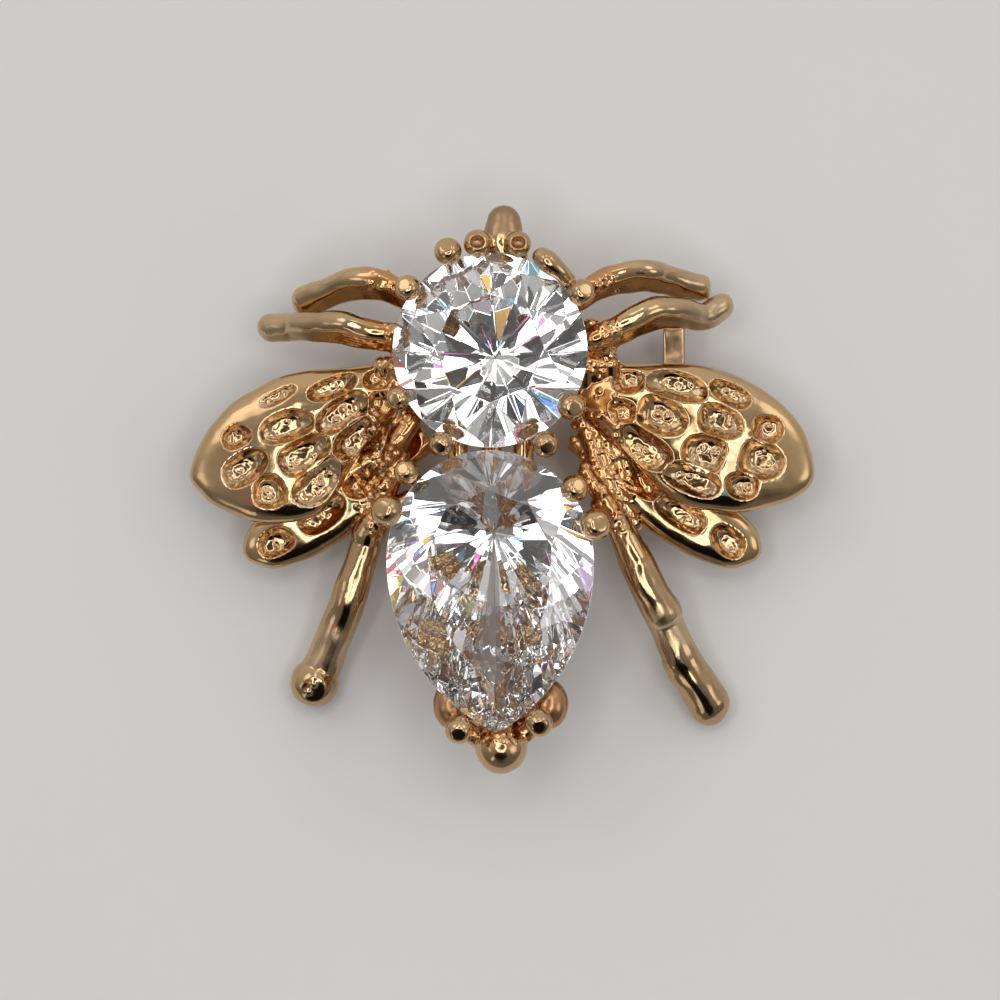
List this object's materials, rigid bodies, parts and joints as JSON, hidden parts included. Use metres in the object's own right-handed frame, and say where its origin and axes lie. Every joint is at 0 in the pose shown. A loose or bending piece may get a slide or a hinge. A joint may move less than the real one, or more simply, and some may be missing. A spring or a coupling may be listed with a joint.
{
  "type": "insect brooch",
  "caption": "Gold-tone bee brooch with raised veins on its wings, a round and a pear-shaped clear stone held by bead prongs, and a pin back.",
  "frame": {"origin": "under the middle of the brooch's box, on the surface that it rests on", "axes": "+X along the wing span, to the right as seen from the front with the head up, where the catch is, +Y towards the head, +Z out of the front, away from the pin back"},
  "size_m": [0.0306, 0.0278, 0.0082],
  "materials": {
    "gold_tone_metal": "polished gold-tone cast metal, darker and warmer in the recesses",
    "round_clear_stone": "polished colourless cut stone",
    "pear_clear_stone": "polished colourless cut stone",
    "pin_wire": "drawn gold-tone wire"
  },
  "bodies": {
    "root": {"casting": "gold_tone_metal", "round_stone": "round_clear_stone", "pear_stone": "pear_clear_stone", "pin_stem": "pin_wire"}
  },
  "joints": []
}
